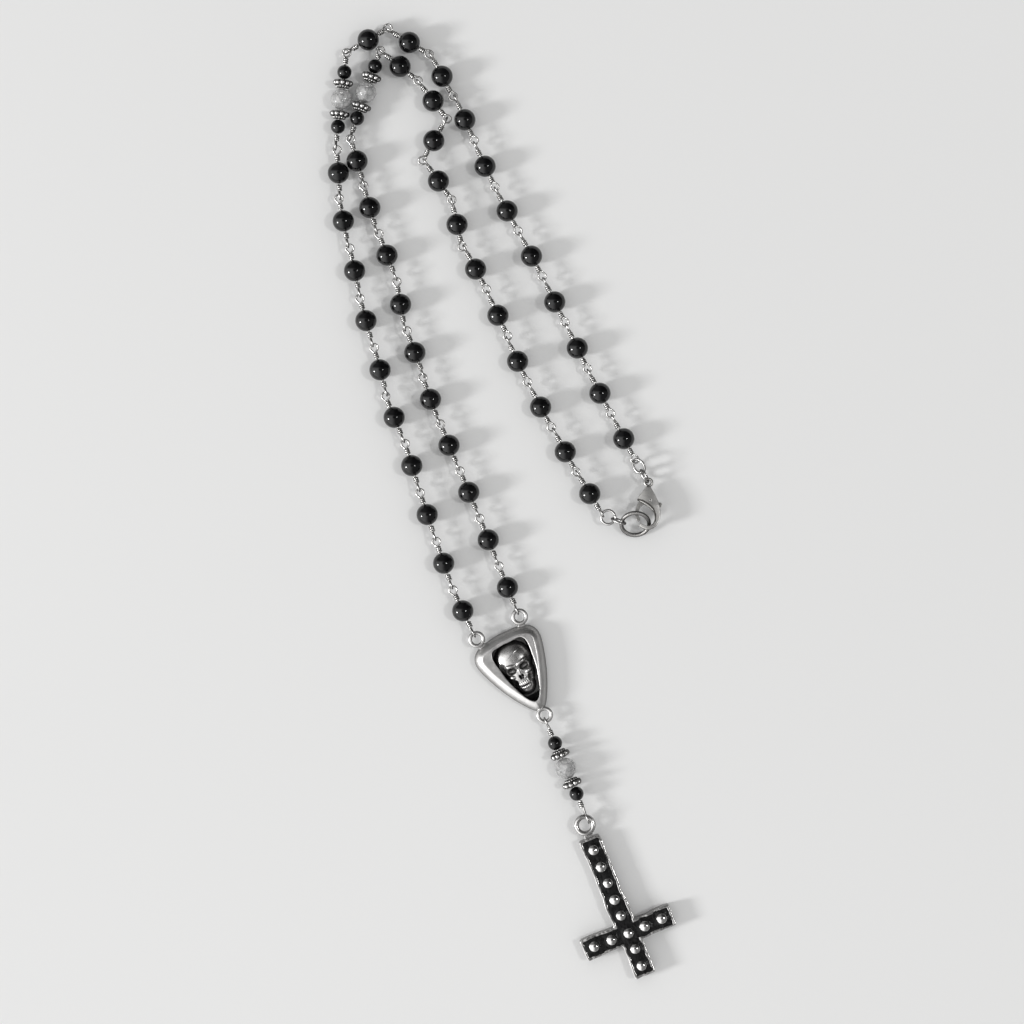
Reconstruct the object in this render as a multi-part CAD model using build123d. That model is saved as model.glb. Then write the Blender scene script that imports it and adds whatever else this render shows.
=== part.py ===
from build123d import *
import math
import os

# Rosary laid out flat, millimetres.  +X right, +Y along the strands, +Z up.
# The origin is the centre of the flat back face of the centrepiece, z = 0 is
# the surface that the rosary rests on.  Two strands of bead links run from the
# centrepiece to the clasp and its end ring; an accent link joins it to the cross.
# Angles are in degrees, except in the ring table.

os.makedirs("parts", exist_ok=True)

# ---- beads -----------------------------------------------------------------
BEAD_D = 6.0            # round black stone bead
SMALL_BEAD_D = 4.0      # small round black stone bead
CRYSTAL_D = 6.0         # crackled crystal bead
BEAD_BORE_D = 0.9       # drilled hole through every bead
CHAIN_Z = BEAD_D / 2    # height of every bead axis

# ---- eye wire: every reach runs from the link centre to a loop centre ------
WIRE_R = 0.26
WRAP_TURNS = 4          # turns of the wrap at each end of a link
SHORT_WRAP_TURNS = 2
WRAP_PITCH = 0.54
WRAP_R = 0.50           # radius of the wrap's centreline
WRAP_GAP = 0.07         # between a bead and the wrap beside it
LOOP_R = 1.08           # centreline radius of a wrapped loop
REACH = 6.42
FIRST_REACH = 6.85      # longer first loop at the centrepiece
FIRST_LOOP_R = 1.20
LAST_REACH = 6.57       # last loop of the left strand, at the clasp

# ---- accent links: small bead, spacer, crystal, spacer, small bead ---------
SMALL_OFFSET = 7.7      # crystal centre to small bead centre
ACCENT_REACH = 13.12
ACCENT_SHORT_REACH = 12.30      # upper loop of the right accent link
PENDANT_START_REACH = 14.10     # towards the centrepiece
PENDANT_START_LOOP_R = 1.20
PENDANT_END_REACH = 15.10       # towards the cross
PENDANT_END_LOOP_R = 1.50

SPACER_MID = 4.36       # crystal centre to spacer mid plane
SPACER_T = 2.3
SPACER_BORE_R = BEAD_BORE_D / 2 + 0.1
GRAIN_COUNT = 9
GRAIN_R = 0.80
GRAIN_RING_R = 2.05
GRAIN_SHIFT = 0.25      # ring of grains from the spacer mid plane
GRAIN_OVERLAP = 0.15    # grain centres outside the core's surface

# ---- chain positions: x, y of the link centre, heading of the link ---------
# Each strand starts at the upper loop of the centrepiece that it is named after.
LEFT = [
    (-15.037, 16.023, 115.33), (-20.384, 29.350, 109.13), (-24.998, 42.969, 108.23),
    (-29.320, 56.683, 107.13), (-34.250, 70.175, 112.31), (-38.207, 83.485, 105.15),
    (-42.159, 97.272, 105.34), (-45.339, 111.240, 102.25), (-48.480, 125.173, 100.98),
    (-49.862, 138.630, 93.66), (-49.078, 159.201, 83.33), (-41.527, 175.882, 30.62),
    (-30.002, 175.147, 329.09), (-20.838, 165.678, 298.13), (-14.462, 153.504, 293.93),
    (-8.796, 140.484, 295.10), (-2.623, 127.974, 298.33), (4.201, 115.326, 297.73),
    (10.710, 102.504, 296.23), (17.032, 89.588, 295.97), (23.351, 76.924, 297.63),
    (30.045, 64.196, 297.83),
]
RIGHT = [
    (-2.521, 22.578, 112.16), (-7.903, 35.914, 111.84), (-13.364, 49.217, 112.70),
    (-18.896, 62.372, 112.24), (-24.077, 75.260, 110.11), (-28.461, 88.353, 110.57),
    (-32.448, 101.813, 99.79), (-36.251, 115.595, 111.14), (-41.087, 128.916, 106.08),
    (-44.651, 141.971, 106.50), (-42.124, 161.184, 70.97), (-32.602, 168.434, 321.34),
    (-23.365, 158.776, 307.66), (-23.158, 147.656, 240.03), (-21.851, 136.339, 304.85),
    (-16.649, 124.199, 282.78), (-11.444, 111.694, 298.00), (-5.211, 98.764, 294.83),
    (0.311, 85.871, 295.19), (6.749, 73.079, 297.62), (13.648, 60.533, 298.09),
    (20.511, 48.808, 301.09),
]
ACCENT_INDEX = 10       # place of the accent link in each strand
PENDANT = (13.800, -28.100, 293.00)


# ---- shared helpers --------------------------------------------------------
def save(name, *items):
    """Write all the solids of the items as one STEP file."""
    solids = [solid for item in items for solid in item.solids()]
    shape = solids[0] if len(solids) == 1 else Compound(children=solids)
    shape.label = name
    export_step(shape, "parts/" + name + ".step")


def curve(points, **options):
    return Spline(*[Vector(*point) for point in points], **options)


def spline_face(points, z=0):
    """Face inside a closed smooth curve at height z."""
    return Face(Wire([curve([(x, y, z) for x, y in points], periodic=True)]))


def half_ellipsoid(radius, height):
    """Dome on the XY plane, round in plan, with its top at +Z."""
    angles = [math.pi / 2 * k / 8 for k in range(9)]
    arc = curve([(radius * math.cos(a), 0, height * math.sin(a)) for a in angles],
                tangents=((0, 0, 1), (-1, 0, 0)))
    profile = Wire([Line((0, 0, 0), (radius, 0, 0)), arc, Line((0, 0, height), (0, 0, 0))])
    return revolve(Face(profile), axis=Axis.Z)


def x_cylinder(radius, length):
    return Rot(0, 90, 0) * Cylinder(radius, length)


# ---- links: each lies along X, its start at -X -----------------------------
def eye_wire(start_reach, end_reach, bead_end, start_loop_r=LOOP_R, end_loop_r=LOOP_R,
             end_flat=True, end_turns=WRAP_TURNS):
    """Straight wire with a wrap outside each end bead and a loop at each end.
    The start loop stands upright; the end loop lies flat unless end_flat is off.
    bead_end is the distance from the link centre to each wrap."""
    def wrap(sign, turns):
        length = turns * WRAP_PITCH
        x = sign * (bead_end + length / 2)
        return Pos(x, 0, 0) * x_cylinder(WRAP_R + WIRE_R, length)

    stem_start = -(start_reach - start_loop_r)
    stem_end = end_reach - end_loop_r
    wire = Pos((stem_start + stem_end) / 2, 0, 0) * x_cylinder(WIRE_R, stem_end - stem_start)
    end_loop = Torus(end_loop_r, WIRE_R)
    if not end_flat:
        end_loop = Rot(90, 0, 0) * end_loop
    wire = wire + Pos(-start_reach, 0, 0) * Rot(90, 0, 0) * Torus(start_loop_r, WIRE_R)
    wire = wire + Pos(end_reach, 0, 0) * end_loop
    wire = wire + wrap(-1, WRAP_TURNS)
    return wire + wrap(1, end_turns)


def bead(diameter, x):
    return Pos(x, 0, 0) * (Sphere(diameter / 2) - x_cylinder(BEAD_BORE_D / 2, diameter * 2))


def spacer(x):
    """Granulated daisy spacer: a ring of balls round a short tube."""
    body = Rot(0, 90, 0) * (Cylinder(GRAIN_RING_R - GRAIN_OVERLAP, SPACER_T)
                            - Cylinder(SPACER_BORE_R, SPACER_T * 2))
    for k in range(GRAIN_COUNT):
        angle = 2 * math.pi * k / GRAIN_COUNT
        y = GRAIN_RING_R * math.cos(angle)
        z = GRAIN_RING_R * math.sin(angle)
        body = body + Pos(GRAIN_SHIFT, y, z) * Sphere(GRAIN_R)
    return Pos(x, 0, 0) * body


BEAD_END = BEAD_D / 2 + WRAP_GAP
ACCENT_END = SMALL_OFFSET + SMALL_BEAD_D / 2 + WRAP_GAP

first_wire = eye_wire(FIRST_REACH, REACH, BEAD_END, start_loop_r=FIRST_LOOP_R)
middle_wire = eye_wire(REACH, REACH, BEAD_END)
black_bead = bead(BEAD_D, 0)
accent_beads = [bead(SMALL_BEAD_D, -SMALL_OFFSET), spacer(-SPACER_MID), bead(CRYSTAL_D, 0),
                spacer(SPACER_MID), bead(SMALL_BEAD_D, SMALL_OFFSET)]


def save_link(name, station, shapes):
    x, y, heading = station
    place = Location((x, y, CHAIN_Z), (0, 0, heading))
    save(name, *[place * shape for shape in shapes])


def save_strand(side, stations, last_wire, accent_wire):
    """Bead links numbered from the centrepiece, leaving out the accent link."""
    accent = stations[ACCENT_INDEX]
    save_link(side + "_accent_link", accent, [accent_wire] + accent_beads)
    bead_stations = stations[:ACCENT_INDEX] + stations[ACCENT_INDEX + 1:]
    wires = [first_wire] + [middle_wire] * (len(bead_stations) - 2) + [last_wire]
    for number, (station, wire) in enumerate(zip(bead_stations, wires), start=1):
        save_link(f"{side}_bead_link_{number:02d}", station, [wire, black_bead])


save_strand("left", LEFT,
            last_wire=eye_wire(REACH, LAST_REACH, BEAD_END),
            accent_wire=eye_wire(ACCENT_REACH, ACCENT_REACH, ACCENT_END))
save_strand("right", RIGHT,
            last_wire=eye_wire(REACH, REACH, BEAD_END, end_flat=False),
            accent_wire=eye_wire(ACCENT_REACH, ACCENT_SHORT_REACH, ACCENT_END,
                                 end_turns=SHORT_WRAP_TURNS))
pendant_wire = eye_wire(PENDANT_START_REACH, PENDANT_END_REACH, ACCENT_END,
                        PENDANT_START_LOOP_R, PENDANT_END_LOOP_R, end_flat=False)
save_link("pendant_accent_link", PENDANT, [pendant_wire] + accent_beads)

# ---- rings -----------------------------------------------------------------
JUMP_WIRE_R = 0.36
END_RING_WIRE_R = 0.58
# name, centre, axis tilt from +Z and axis heading in radians, radius, wire radius
RINGS = [
    ("jump_ring_left_a", (34.236, 56.510, 2.877), 0.870, -2.585, 2.08, JUMP_WIRE_R),
    ("jump_ring_left_b", (35.837, 53.736, 2.663), 1.286, 0.519, 1.92, JUMP_WIRE_R),
    ("jump_ring_right_a", (25.638, 42.204, 3.209), -0.077, 0.000, 1.95, JUMP_WIRE_R),
    ("jump_ring_right_b", (28.556, 41.116, 3.457), 1.366, 1.224, 1.95, JUMP_WIRE_R),
    ("end_ring", (33.260, 40.300, 2.950), 0.6336, -math.pi / 2, 3.87, END_RING_WIRE_R),
]


def tilted_ring(centre, tilt, heading, radius, wire_r):
    axis = Vector(math.sin(tilt) * math.cos(heading),
                  math.sin(tilt) * math.sin(heading), math.cos(tilt))
    return Plane(origin=centre, z_dir=axis) * Torus(radius, wire_r)


for ring_name, *ring_values in RINGS:
    save(ring_name, tilted_ring(*ring_values))

# ---- centrepiece -----------------------------------------------------------
# Its frame starts midway between the two upper loops, turned about +Z.
CP_FRAME = Location((-5.166, 11.170, 0), (0, 0, 28.0))
CP_LOOP_R = 1.83
CP_LOOP_WIRE_R = 0.55
CP_LOOP_Z = 2.8
# x, y of each loop, then x, y of the direction from it to the body; all in
# the rosary's frame
CP_LOOPS = [(-11.172, 8.008, 0.62, -0.785),
            (0.840, 14.336, 0.20, -0.98),
            (7.868, -13.160, -0.47, 0.88)]
LUG_OFFSET = 2.55           # loop centre to lug centre
LUG_LENGTH, LUG_WIDTH, LUG_HEIGHT = 1.7, 2.0, 1.3
CP_FLOOR = 1.3              # floor of the recess
CP_POCKET_CUT = 6           # height of the recess cutter, past the top
CP_LEFT_WIDER = 1.09        # the rim is broader on its left side
CP_LEVELS = [(0.0, 0.35), (0.7, 0.0), (2.5, 0.15), (3.7, 1.0), (4.45, 2.2)]  # z, inset
# right half of the body and of the recess: x, y from the top round to the tip
CP_OUTSIDE = [
    (0.0, -1.78), (3.2, -1.95), (6.3, -2.55), (8.4, -3.75), (9.45, -5.9),
    (9.25, -8.6), (8.35, -11.8), (7.2, -15.0), (5.75, -18.4), (4.2, -21.4),
    (2.6, -24.0), (1.2, -25.6), (0.0, -26.05),
]
CP_WINDOW = [
    (0.0, -4.8), (2.6, -4.85), (4.7, -5.35), (5.35, -6.9), (5.15, -9.9),
    (4.6, -13.6), (3.55, -17.3), (2.45, -20.2), (1.2, -22.2), (0.0, -22.9),
]
# skull, standing on the recess floor
SKULL_DOMES = [(-0.2, -9.6, 4.4, 3.5),      # x, y, radius, height
               (-0.4, -13.8, 3.9, 3.0),
               (-0.6, -17.2, 2.6, 2.8)]
SKULL_EYES = [(-2.5, -12.4, -16), (1.6, -12.5, 16)]     # x, y, turn
EYE_SOCKET = (2.6, 1.2, 1.4)
EYE_Z = CP_FLOOR + 2.4
NOSE_AT = (-0.7, -15.4, CP_FLOOR + 2.9)
NOSE_R, NOSE_CUT = 0.55, 2.0
MOUTH_AT = (-0.7, -18.2, CP_FLOOR + 2.8)
MOUTH = (2.8, 0.4, 1.6)


def mirrored_outline(half, inset=0.0, left_scale=1.0):
    """Clockwise outline from its right half, each point moved inwards."""
    full = half + [(-x * left_scale, y) for x, y in reversed(half[1:-1])]
    moved = []
    for i, (x, y) in enumerate(full):
        before_x, before_y = full[i - 1]
        after_x, after_y = full[(i + 1) % len(full)]
        along_x, along_y = after_x - before_x, after_y - before_y
        length = math.hypot(along_x, along_y)
        moved.append((x + along_y / length * inset, y - along_x / length * inset))
    return moved


def centrepiece_frame():
    shell = loft([spline_face(mirrored_outline(CP_OUTSIDE, inset, CP_LEFT_WIDER), z)
                  for z, inset in CP_LEVELS])
    window = spline_face(mirrored_outline(CP_WINDOW), CP_FLOOR)
    pocket = extrude(window, amount=CP_POCKET_CUT, dir=(0, 0, 1))
    frame = CP_FRAME * (shell - pocket)
    for x, y, _, _ in CP_LOOPS:
        frame = frame + Pos(x, y, CP_LOOP_Z) * Torus(CP_LOOP_R, CP_LOOP_WIRE_R)
    # cast lugs that tie each loop to the body, their tops at the loop's mid plane
    for x, y, toward_x, toward_y in CP_LOOPS:
        step = LUG_OFFSET / math.hypot(toward_x, toward_y)
        turn = math.degrees(math.atan2(toward_y, toward_x))
        place = Pos(x + toward_x * step, y + toward_y * step, CP_LOOP_Z - LUG_HEIGHT / 2)
        frame = frame + place * Rot(0, 0, turn) * Box(LUG_LENGTH, LUG_WIDTH, LUG_HEIGHT)
    return frame


def centrepiece_skull():
    """Cranium, cheeks and jaw as merged domes, with eyes, nose and mouth cut in."""
    cranium, cheeks, jaw = [Pos(x, y, CP_FLOOR) * half_ellipsoid(radius, height)
                            for x, y, radius, height in SKULL_DOMES]
    skull = cranium + cheeks
    skull = skull + jaw
    for x, y, turn in SKULL_EYES:
        skull = skull - Pos(x, y, EYE_Z) * Rot(0, 0, turn) * Box(*EYE_SOCKET)
    skull = skull - Pos(*NOSE_AT) * Cylinder(NOSE_R, NOSE_CUT)
    return skull - Pos(*MOUTH_AT) * Box(*MOUTH)


save("centrepiece_frame", centrepiece_frame())
save("centrepiece_skull", CP_FRAME * centrepiece_skull())

# ---- cross -----------------------------------------------------------------
# Its frame starts at the centre of the crossing, the long arm along +Y.
CROSS_FRAME = Location((31.280, -74.090, 0), (0, 0, 22.7))
CROSS_UP = 28.6                # long arm, towards the bail
CROSS_DOWN = 12.9
CROSS_SIDE = 13.4
CROSS_W = 6.0
CROSS_T = 3.4
CROSS_CORNER_R = 0.45
CROSS_RIM = 0.75
CROSS_RECESS = 1.2
RECESS_Z = CROSS_T - CROSS_RECESS
ENAMEL_GAP = 0.02              # between the enamel and the rim
ENAMEL_DROP = 0.35             # enamel surface below the rim
STUD_R = 1.65
STUD_H = 1.15
STUD_Z = CROSS_T - ENAMEL_DROP + 0.01      # underside of the head, clear of the enamel
PEG_R = 0.6
PEG_HOLE_R = PEG_R + 0.02
PEG_BOTTOM = RECESS_Z - 0.8
PEG_TOP = STUD_Z + 0.1         # inside the head
BODY_PEG_CUT = 2.0             # cutter lengths, centred on the recess floor
ENAMEL_PEG_CUT = 4.0
STUDS = [(0, 25.0), (0, 20.0), (0, 15.1), (0, 10.1), (0, 5.1), (0, 0), (0, -5.0),
         (0, -10.0), (-10.1, 0), (-5.1, 0), (5.1, 0), (10.1, 0)]    # x, y
BAIL_AT = (19.150, -44.000, 2.8)           # in the rosary's frame
BAIL_R = 2.35
BAIL_WIRE_R = 0.70
NECK_W, NECK_T = 2.6, 1.6
NECK_SINK = 0.6                # overlap with the arm, and past the ring's centreline
NECK_DROP = 0.6                # neck mid plane below the ring's


def cross_block(inset, z_bottom, height):
    """Cross with every edge moved inwards by inset."""
    width = CROSS_W - 2 * inset
    z = z_bottom + height / 2
    arm_length = CROSS_UP + CROSS_DOWN - 2 * inset
    arm = Pos(0, (CROSS_UP - CROSS_DOWN) / 2, z) * Box(width, arm_length, height)
    return arm + Pos(0, 0, z) * Box((CROSS_SIDE - inset) * 2, width, height)


def drill_pegs(shape, length):
    for x, y in STUDS:
        shape = shape - Pos(x, y, RECESS_Z) * Cylinder(PEG_HOLE_R, length)
    return shape


def cross_body():
    """Recessed cross with a bail: a cast ring on a short neck at the long arm's end."""
    blank = cross_block(0, 0, CROSS_T)
    blank = fillet(blank.edges().filter_by(Axis.Z), CROSS_CORNER_R)
    body = blank - cross_block(CROSS_RIM, RECESS_Z, CROSS_RECESS + 1)
    body = drill_pegs(body, BODY_PEG_CUT)
    bail = (CROSS_FRAME.inverse() * Location(BAIL_AT)).position
    neck_length = bail.Y - BAIL_R - CROSS_UP + 2 * NECK_SINK
    neck_y = CROSS_UP - NECK_SINK + neck_length / 2
    neck = Pos(bail.X / 2, neck_y, BAIL_AT[2] - NECK_DROP) * Box(NECK_W, neck_length, NECK_T)
    ring = Pos(bail.X, bail.Y, BAIL_AT[2]) * Torus(BAIL_R, BAIL_WIRE_R)
    return body + neck + ring


def cross_enamel():
    fill = cross_block(CROSS_RIM + ENAMEL_GAP, RECESS_Z, CROSS_RECESS - ENAMEL_DROP)
    return drill_pegs(fill, ENAMEL_PEG_CUT)


def cross_stud(x, y):
    """Domed head on a peg."""
    peg = Pos(x, y, (PEG_TOP + PEG_BOTTOM) / 2) * Cylinder(PEG_R, PEG_TOP - PEG_BOTTOM)
    return Pos(x, y, STUD_Z) * half_ellipsoid(STUD_R, STUD_H) + peg


save("cross_body", CROSS_FRAME * cross_body())
save("cross_enamel", CROSS_FRAME * cross_enamel())
save("cross_studs", *[CROSS_FRAME * cross_stud(x, y) for x, y in STUDS])

# ---- clasp -----------------------------------------------------------------
# Its frame starts at the eye, with the hook towards -Y; the first turn is the
# heading, the second lifts the hook end above the eye.
CLASP_FRAME = (Location((36.960, 51.968, 2.60), (0, 0, -1.5))
               * Location((0, 0, 0), (-7.5, 0, 0)))
CLASP_T = 2.3
HOOK_TIP_T = 1.45              # the hook thins out towards its tip
EYE_R = 1.0
EYE_WIRE_R = 0.38
LEVER_T = 0.9
SLOT_T = LEVER_T + 0.16
PIVOT = Pos(0.55, -5.15, 0)
PIN_R = 0.32
PIN_BODY_GAP = 0.01
PIN_LEVER_GAP = 0.04
# x, y of the hook's outer edge from the eye to the tip, its inner edge back
# from the tip, and the short edge back to the eye
HOOK_OUTER = [
    (0.45, -1.15), (1.35, -2.7), (2.3, -4.4), (2.95, -5.9), (3.4, -7.6), (3.5, -9.4),
    (3.05, -11.2), (1.95, -12.65), (0.45, -13.3), (-1.3, -13.0), (-2.35, -12.35),
]
HOOK_INNER = [
    (-1.95, -11.6), (-0.9, -12.15), (0.35, -12.3), (1.45, -11.6), (1.98, -10.2),
    (1.85, -8.9), (1.15, -7.75), (-0.5, -6.5), (-2.2, -5.55),
]
HOOK_BACK = [(-3.05, -5.0), (-2.3, -3.6), (-1.3, -2.2), (-0.45, -1.15)]
# y, thickness of the hook along its length
HOOK_TAPER = [(2.0, CLASP_T), (-6.5, CLASP_T), (-14.0, HOOK_TIP_T)]
# x, y round the lever
LEVER = [
    (-2.6, -5.6), (-3.15, -6.6), (-3.55, -8.2), (-3.35, -10.1), (-2.62, -11.1),
    (-2.15, -10.85), (-2.45, -9.9), (-2.5, -8.4), (-2.1, -7.1), (-1.0, -6.2),
    (0.6, -6.0), (2.2, -6.75), (3.75, -6.75), (3.85, -5.95), (2.6, -5.5),
    (1.4, -4.4), (0.3, -4.2), (-0.9, -4.75),
]


def pivot_hole(gap):
    return PIVOT * Cylinder(PIN_R + gap, CLASP_T + 1)


def clasp_body():
    edges = []
    sides = [HOOK_OUTER, HOOK_INNER, HOOK_BACK]
    for side, following in zip(sides, sides[1:] + sides[:1]):
        edges += [curve(side), Line(side[-1], following[0])]
    hook = extrude(Face(Wire(edges)), amount=CLASP_T / 2, both=True)
    upper = [(0, y, thickness / 2) for y, thickness in HOOK_TAPER]
    lower = [(0, y, -thickness / 2) for y, thickness in reversed(HOOK_TAPER)]
    taper = Wire(Polyline(upper + lower, close=True))
    hook = hook & extrude(Face(taper), amount=10, both=True)
    hook = hook + Torus(EYE_R, EYE_WIRE_R)
    # slot for the lever, open at both sides; the keep block leaves the bend solid
    slot = Pos(0.2, -5.9, 0) * Box(9.0, 3.9, SLOT_T)
    keep = Pos(1.2, -10.0, 0) * Box(9.0, 4.4, SLOT_T * 2)
    hook = hook - (slot - keep)
    return hook - pivot_hole(PIN_BODY_GAP)


def clasp_lever():
    lever = extrude(spline_face(LEVER), amount=LEVER_T / 2, both=True)
    return lever - pivot_hole(PIN_LEVER_GAP)


def clasp_spring():
    """Leaf spring that presses on the short end of the lever, held in the slot."""
    return Pos(-1.45, -4.04, 0) * Box(1.2, 0.14, LEVER_T - 0.2)


save("clasp_body", CLASP_FRAME * clasp_body())
save("clasp_pin", CLASP_FRAME * (PIVOT * Cylinder(PIN_R, CLASP_T)))
save("clasp_lever", CLASP_FRAME * clasp_lever())
save("clasp_spring", CLASP_FRAME * clasp_spring())
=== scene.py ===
# A bead necklace with a skull centrepiece and a cross, laid out on a plain floor.
# The floor is the plane z = 0 and the camera looks straight down with +Y up in the picture.
# Two bead strands leave the centrepiece near the origin, run up +Y, turn back and end at
# the clasp and its ring on the +X side. An accent link and the cross hang off towards -Y.
# Sizes are in millimetres unless a comment says otherwise; MM turns them into metres.
import bpy
import bmesh
import math
import random
import numpy as np
from mathutils import Matrix, Vector, noise


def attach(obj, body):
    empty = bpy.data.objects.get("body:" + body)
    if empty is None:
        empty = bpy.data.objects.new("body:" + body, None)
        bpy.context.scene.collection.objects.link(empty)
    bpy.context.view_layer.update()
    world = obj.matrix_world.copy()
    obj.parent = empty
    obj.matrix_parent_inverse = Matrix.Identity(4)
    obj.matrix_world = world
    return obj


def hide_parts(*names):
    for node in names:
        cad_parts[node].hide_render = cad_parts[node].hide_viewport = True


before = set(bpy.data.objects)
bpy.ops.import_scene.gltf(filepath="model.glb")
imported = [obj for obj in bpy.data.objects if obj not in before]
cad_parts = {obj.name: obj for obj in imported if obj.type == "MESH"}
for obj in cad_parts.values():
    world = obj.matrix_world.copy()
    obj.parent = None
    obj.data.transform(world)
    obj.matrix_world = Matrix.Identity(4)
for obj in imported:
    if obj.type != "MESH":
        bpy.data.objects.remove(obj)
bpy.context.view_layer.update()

MM = 0.001
scene = bpy.context.scene

# ---- chain sizes ------------------------------------------------------------
BEAD_D, SMALL_D, CRYSTAL_D = 6.0, 4.0, 6.0
CHAIN_Z = BEAD_D / 2                      # the beads rest on the floor
WIRE_R, WRAP_R, WRAP_PITCH = 0.26, 0.50, 0.54
LOOP_R, FIRST_LOOP_R = 1.08, 1.20
SMALL_OFFSET, SPACER_OFFSET = 7.7, 4.36   # from the middle of an accent link
BEAD_GAP = 0.07                           # between a bead and the wrap beside it
BEAD_END = BEAD_D / 2 + BEAD_GAP
ACCENT_END = SMALL_OFFSET + SMALL_D / 2 + BEAD_GAP
# reach: from the middle of a link to the centre of its loop
REACH, FIRST_REACH, LAST_REACH = 6.42, 6.85, 6.57
ACCENT_REACH, ACCENT_SHORT_REACH = ACCENT_END + REACH - BEAD_END, 12.30
ACCENT_INDEX = 10                         # row of each strand that is an accent link

# Link middles and headings in degrees: (x, y, heading), from the centrepiece to the clasp
LEFT = [
    (-15.037, 16.023, 115.33), (-20.384, 29.350, 109.13), (-24.998, 42.969, 108.23),
    (-29.320, 56.683, 107.13), (-34.250, 70.175, 112.31), (-38.207, 83.485, 105.15),
    (-42.159, 97.272, 105.34), (-45.339, 111.240, 102.25), (-48.480, 125.173, 100.98),
    (-49.862, 138.630, 93.66), (-49.078, 159.201, 83.33), (-41.527, 175.882, 30.62),
    (-30.002, 175.147, 329.09), (-20.838, 165.678, 298.13), (-14.462, 153.504, 293.93),
    (-8.796, 140.484, 295.10), (-2.623, 127.974, 298.33), (4.201, 115.326, 297.73),
    (10.710, 102.504, 296.23), (17.032, 89.588, 295.97), (23.351, 76.924, 297.63),
    (30.045, 64.196, 297.83),
]
RIGHT = [
    (-2.521, 22.578, 112.16), (-7.903, 35.914, 111.84), (-13.364, 49.217, 112.70),
    (-18.896, 62.372, 112.24), (-24.077, 75.260, 110.11), (-28.461, 88.353, 110.57),
    (-32.448, 101.813, 99.79), (-36.251, 115.595, 111.14), (-41.087, 128.916, 106.08),
    (-44.651, 141.971, 106.50), (-42.124, 161.184, 70.97), (-32.602, 168.434, 321.34),
    (-23.365, 158.776, 307.66), (-23.158, 147.656, 240.03), (-21.851, 136.339, 304.85),
    (-16.649, 124.199, 282.78), (-11.444, 111.694, 298.00), (-5.211, 98.764, 294.83),
    (0.311, 85.871, 295.19), (6.749, 73.079, 297.62), (13.648, 60.533, 298.09),
    (20.511, 48.808, 301.09),
]
PENDANT = (13.800, -28.100, 293.00)

WIRE_SLOT = RING_SLOT = "bright_silver_rings"
ONYX_SLOT = "onyx_beads_on_silver_wire"
CRYSTAL_SLOT = "crystal_and_onyx_on_silver_wire"


# ---- mesh helpers -----------------------------------------------------------
class Build:
    """Collects vertices in millimetres and faces with a material index."""

    def __init__(self):
        self.verts, self.faces, self.slots = [], [], []

    def add(self, verts, faces, slot=0):
        offset = len(self.verts)
        self.verts.extend([tuple(map(float, point)) for point in verts])
        self.faces.extend([tuple(offset + i for i in face) for face in faces])
        self.slots.extend([slot] * len(faces))
        return self

    def mesh(self, name, *materials, smooth=True):
        mesh = bpy.data.meshes.new(name)
        mesh.from_pydata([(x * MM, y * MM, z * MM) for x, y, z in self.verts], [], self.faces)
        bm = bmesh.new()
        bm.from_mesh(mesh)
        bmesh.ops.recalc_face_normals(bm, faces=bm.faces)
        bm.to_mesh(mesh)
        bm.free()
        mesh.polygons.foreach_set("use_smooth", [smooth] * len(mesh.polygons))
        mesh.polygons.foreach_set("material_index", self.slots)
        for material in materials:
            mesh.materials.append(material)
        mesh.update()
        return mesh


def grid_faces(rows, columns, wrap_rows):
    """Quads over rows of points that are each closed round; wrap_rows joins last to first."""
    faces = []
    for i in range(rows if wrap_rows else rows - 1):
        after = (i + 1) % rows
        for j in range(columns):
            side = (j + 1) % columns
            faces.append((i * columns + j, i * columns + side,
                          after * columns + side, after * columns + j))
    return faces


def sweep(path, radii, sides, closed=False):
    """Tube along a path. radii has one value per point, or one per point and side."""
    path = np.array(path, float)
    count = len(path)
    if closed:
        tangent = np.roll(path, -1, 0) - np.roll(path, 1, 0)
    else:
        tangent = np.gradient(path, axis=0)
    tangent /= np.linalg.norm(tangent, axis=1)[:, None]

    def across(vector, i):
        """Unit part of a vector at right angles to the path at point i."""
        flat = vector - tangent[i] * vector.dot(tangent[i])
        return flat / np.linalg.norm(flat)

    normal = np.zeros((count, 3))
    normal[0] = across(np.array([0, 0, 1.0] if abs(tangent[0][2]) < 0.9 else [1.0, 0, 0]), 0)
    for i in range(1, count):
        normal[i] = across(normal[i - 1], i)
    if closed:
        # spread the leftover twist so that the ends of the tube meet
        last = across(normal[-1], 0)
        twist = math.atan2(np.cross(last, normal[0]).dot(tangent[0]), last.dot(normal[0]))
        for i in range(count):
            turn = twist * i / count
            normal[i] = (normal[i] * math.cos(turn)
                         + np.cross(tangent[i], normal[i]) * math.sin(turn))
    binormal = np.cross(tangent, normal)
    angle = np.linspace(0, 2 * math.pi, sides, endpoint=False)[None, :, None]
    verts = path[:, None, :] + np.reshape(radii, (count, -1))[:, :, None] * (
        np.cos(angle) * normal[:, None, :] + np.sin(angle) * binormal[:, None, :])
    faces = grid_faces(count, sides, closed)
    if not closed:
        faces.append(tuple(range(sides - 1, -1, -1)))
        faces.append(tuple(range((count - 1) * sides, count * sides)))
    return verts.reshape(-1, 3), faces


def rounded_tips(count, radius, steps=3):
    """Radii that close both ends of a wire with a small dome."""
    radii = np.full(count, radius)
    for k in range(steps):
        tip = radius * math.sqrt(max(0.0, 1 - (1 - (k + 0.35) / steps) ** 2))
        radii[k] = tip
        radii[count - 1 - k] = tip
    return radii


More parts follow.
